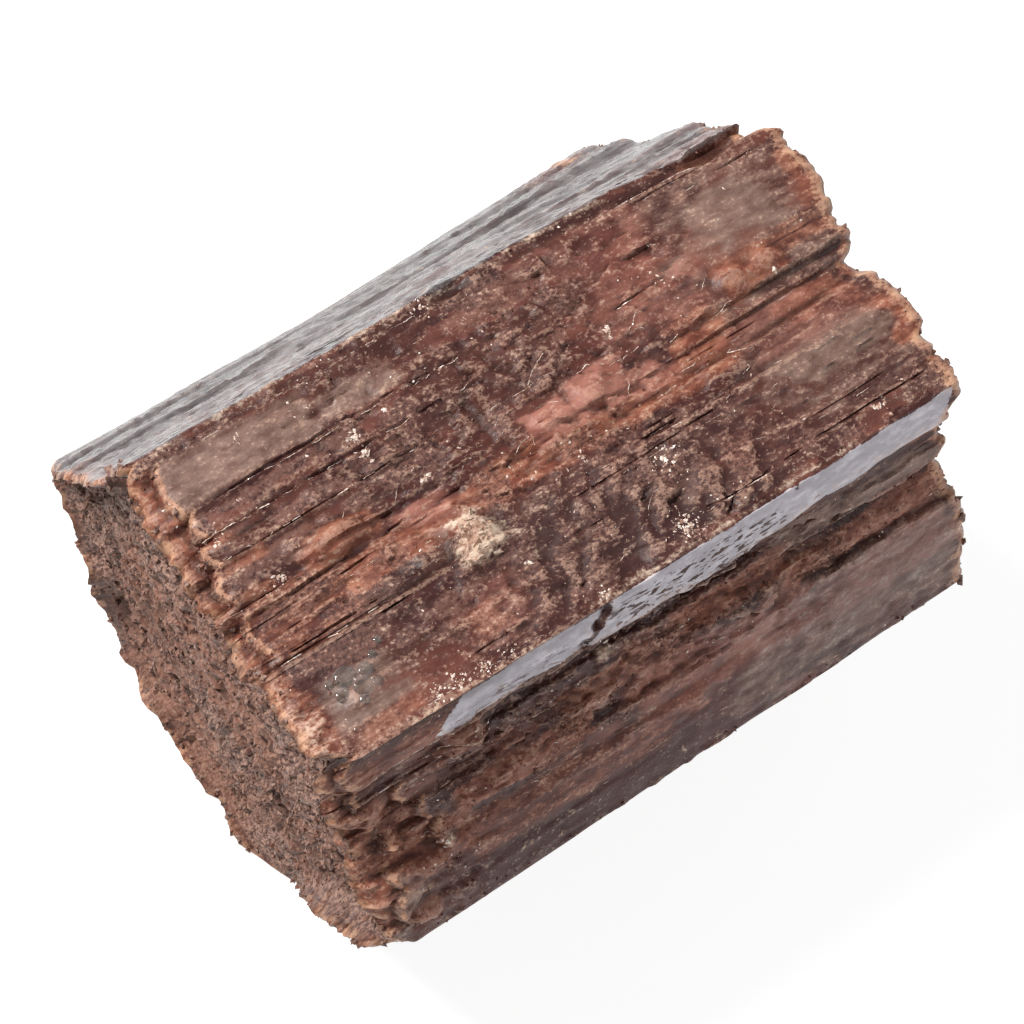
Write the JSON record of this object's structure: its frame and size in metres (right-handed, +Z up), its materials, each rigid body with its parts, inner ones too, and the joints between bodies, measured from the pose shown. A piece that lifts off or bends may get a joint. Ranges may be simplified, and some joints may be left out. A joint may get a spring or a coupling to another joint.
{
  "type": "aragonite crystal specimen",
  "caption": "Stubby six-sided twinned crystal lying on one prism face, with ledged and grooved faces, shingled rims and rough grainy ends.",
  "frame": {"origin": "under the middle of the crystal, in the plane of the prism face that it rests on", "axes": "+X along the column, from the rough grainy end to the far end; +Z up, out of the broad crown face; +Y towards the silvery back slope"},
  "size_m": [0.039, 0.0342, 0.0325],
  "materials": {
    "aragonite": "glassy to waxy red-brown crystal with orange iron-stained bands, tan translucent patches and rough grainy ends"
  },
  "bodies": {
    "root": {"aragonite_crystal": "aragonite"}
  },
  "joints": []
}
